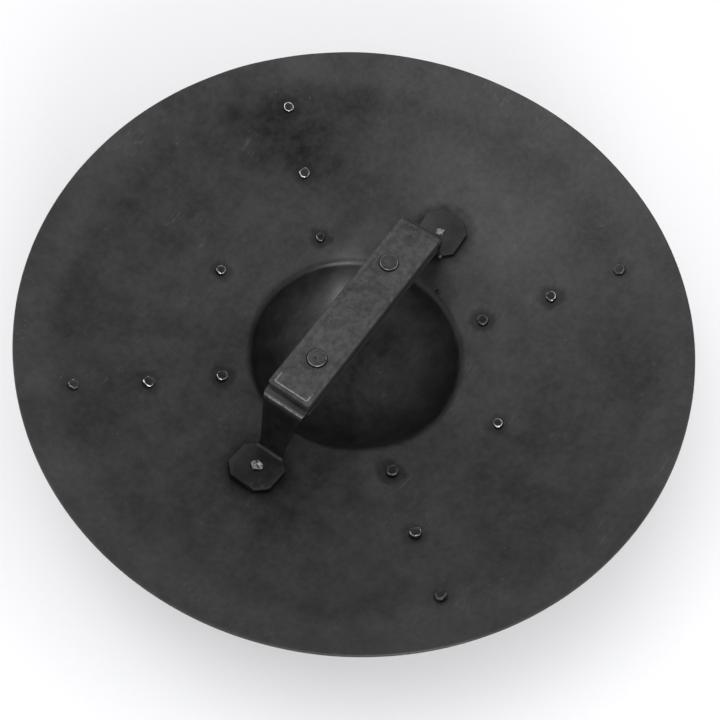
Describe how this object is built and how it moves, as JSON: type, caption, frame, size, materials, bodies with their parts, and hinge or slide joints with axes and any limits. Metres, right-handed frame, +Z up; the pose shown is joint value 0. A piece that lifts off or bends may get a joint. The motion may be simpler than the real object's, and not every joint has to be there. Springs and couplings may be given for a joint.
{
  "type": "buckler shield",
  "caption": "Small round hand shield of blackened sheet steel, dished towards the bearer, with a domed boss and a riveted bridge handle padded with leather.",
  "frame": {"origin": "middle of the boss's flat spot, on the surface that the shield lies on", "axes": "+Z up out of the hollow side, +X along the handle"},
  "size_m": [0.36, 0.36, 0.0943],
  "materials": {
    "blackened_sheet": "blackened, satin, with soft lighter and darker blotches",
    "blackened_bar": "blackened and oiled, bright on its bends and edges",
    "rivet_steel": "hammered, dark on top and worn bright round the edges",
    "black_leather": "thick black leather, finely grained, with a tooled line inside its edge"
  },
  "bodies": {
    "root": {"shield_plate": "blackened_sheet", "handle_bar": "blackened_bar", "grip_leather_upper": "black_leather", "grip_leather_lower": "black_leather", "row_1_rivet_1": "rivet_steel", "row_1_rivet_2": "rivet_steel", "row_1_rivet_3": "rivet_steel", "row_2_rivet_1": "rivet_steel", "row_2_rivet_2": "rivet_steel", "row_2_rivet_3": "rivet_steel", "row_3_rivet_1": "rivet_steel", "row_3_rivet_2": "rivet_steel", "row_3_rivet_3": "rivet_steel", "row_4_rivet_1": "rivet_steel", "row_4_rivet_2": "rivet_steel", "row_4_rivet_3": "rivet_steel", "side_rivet_1": "rivet_steel", "side_rivet_2": "rivet_steel", "foot_rivet_1": "rivet_steel", "foot_rivet_2": "rivet_steel", "grip_rivet_1": "rivet_steel", "grip_rivet_2": "rivet_steel"}
  },
  "joints": []
}
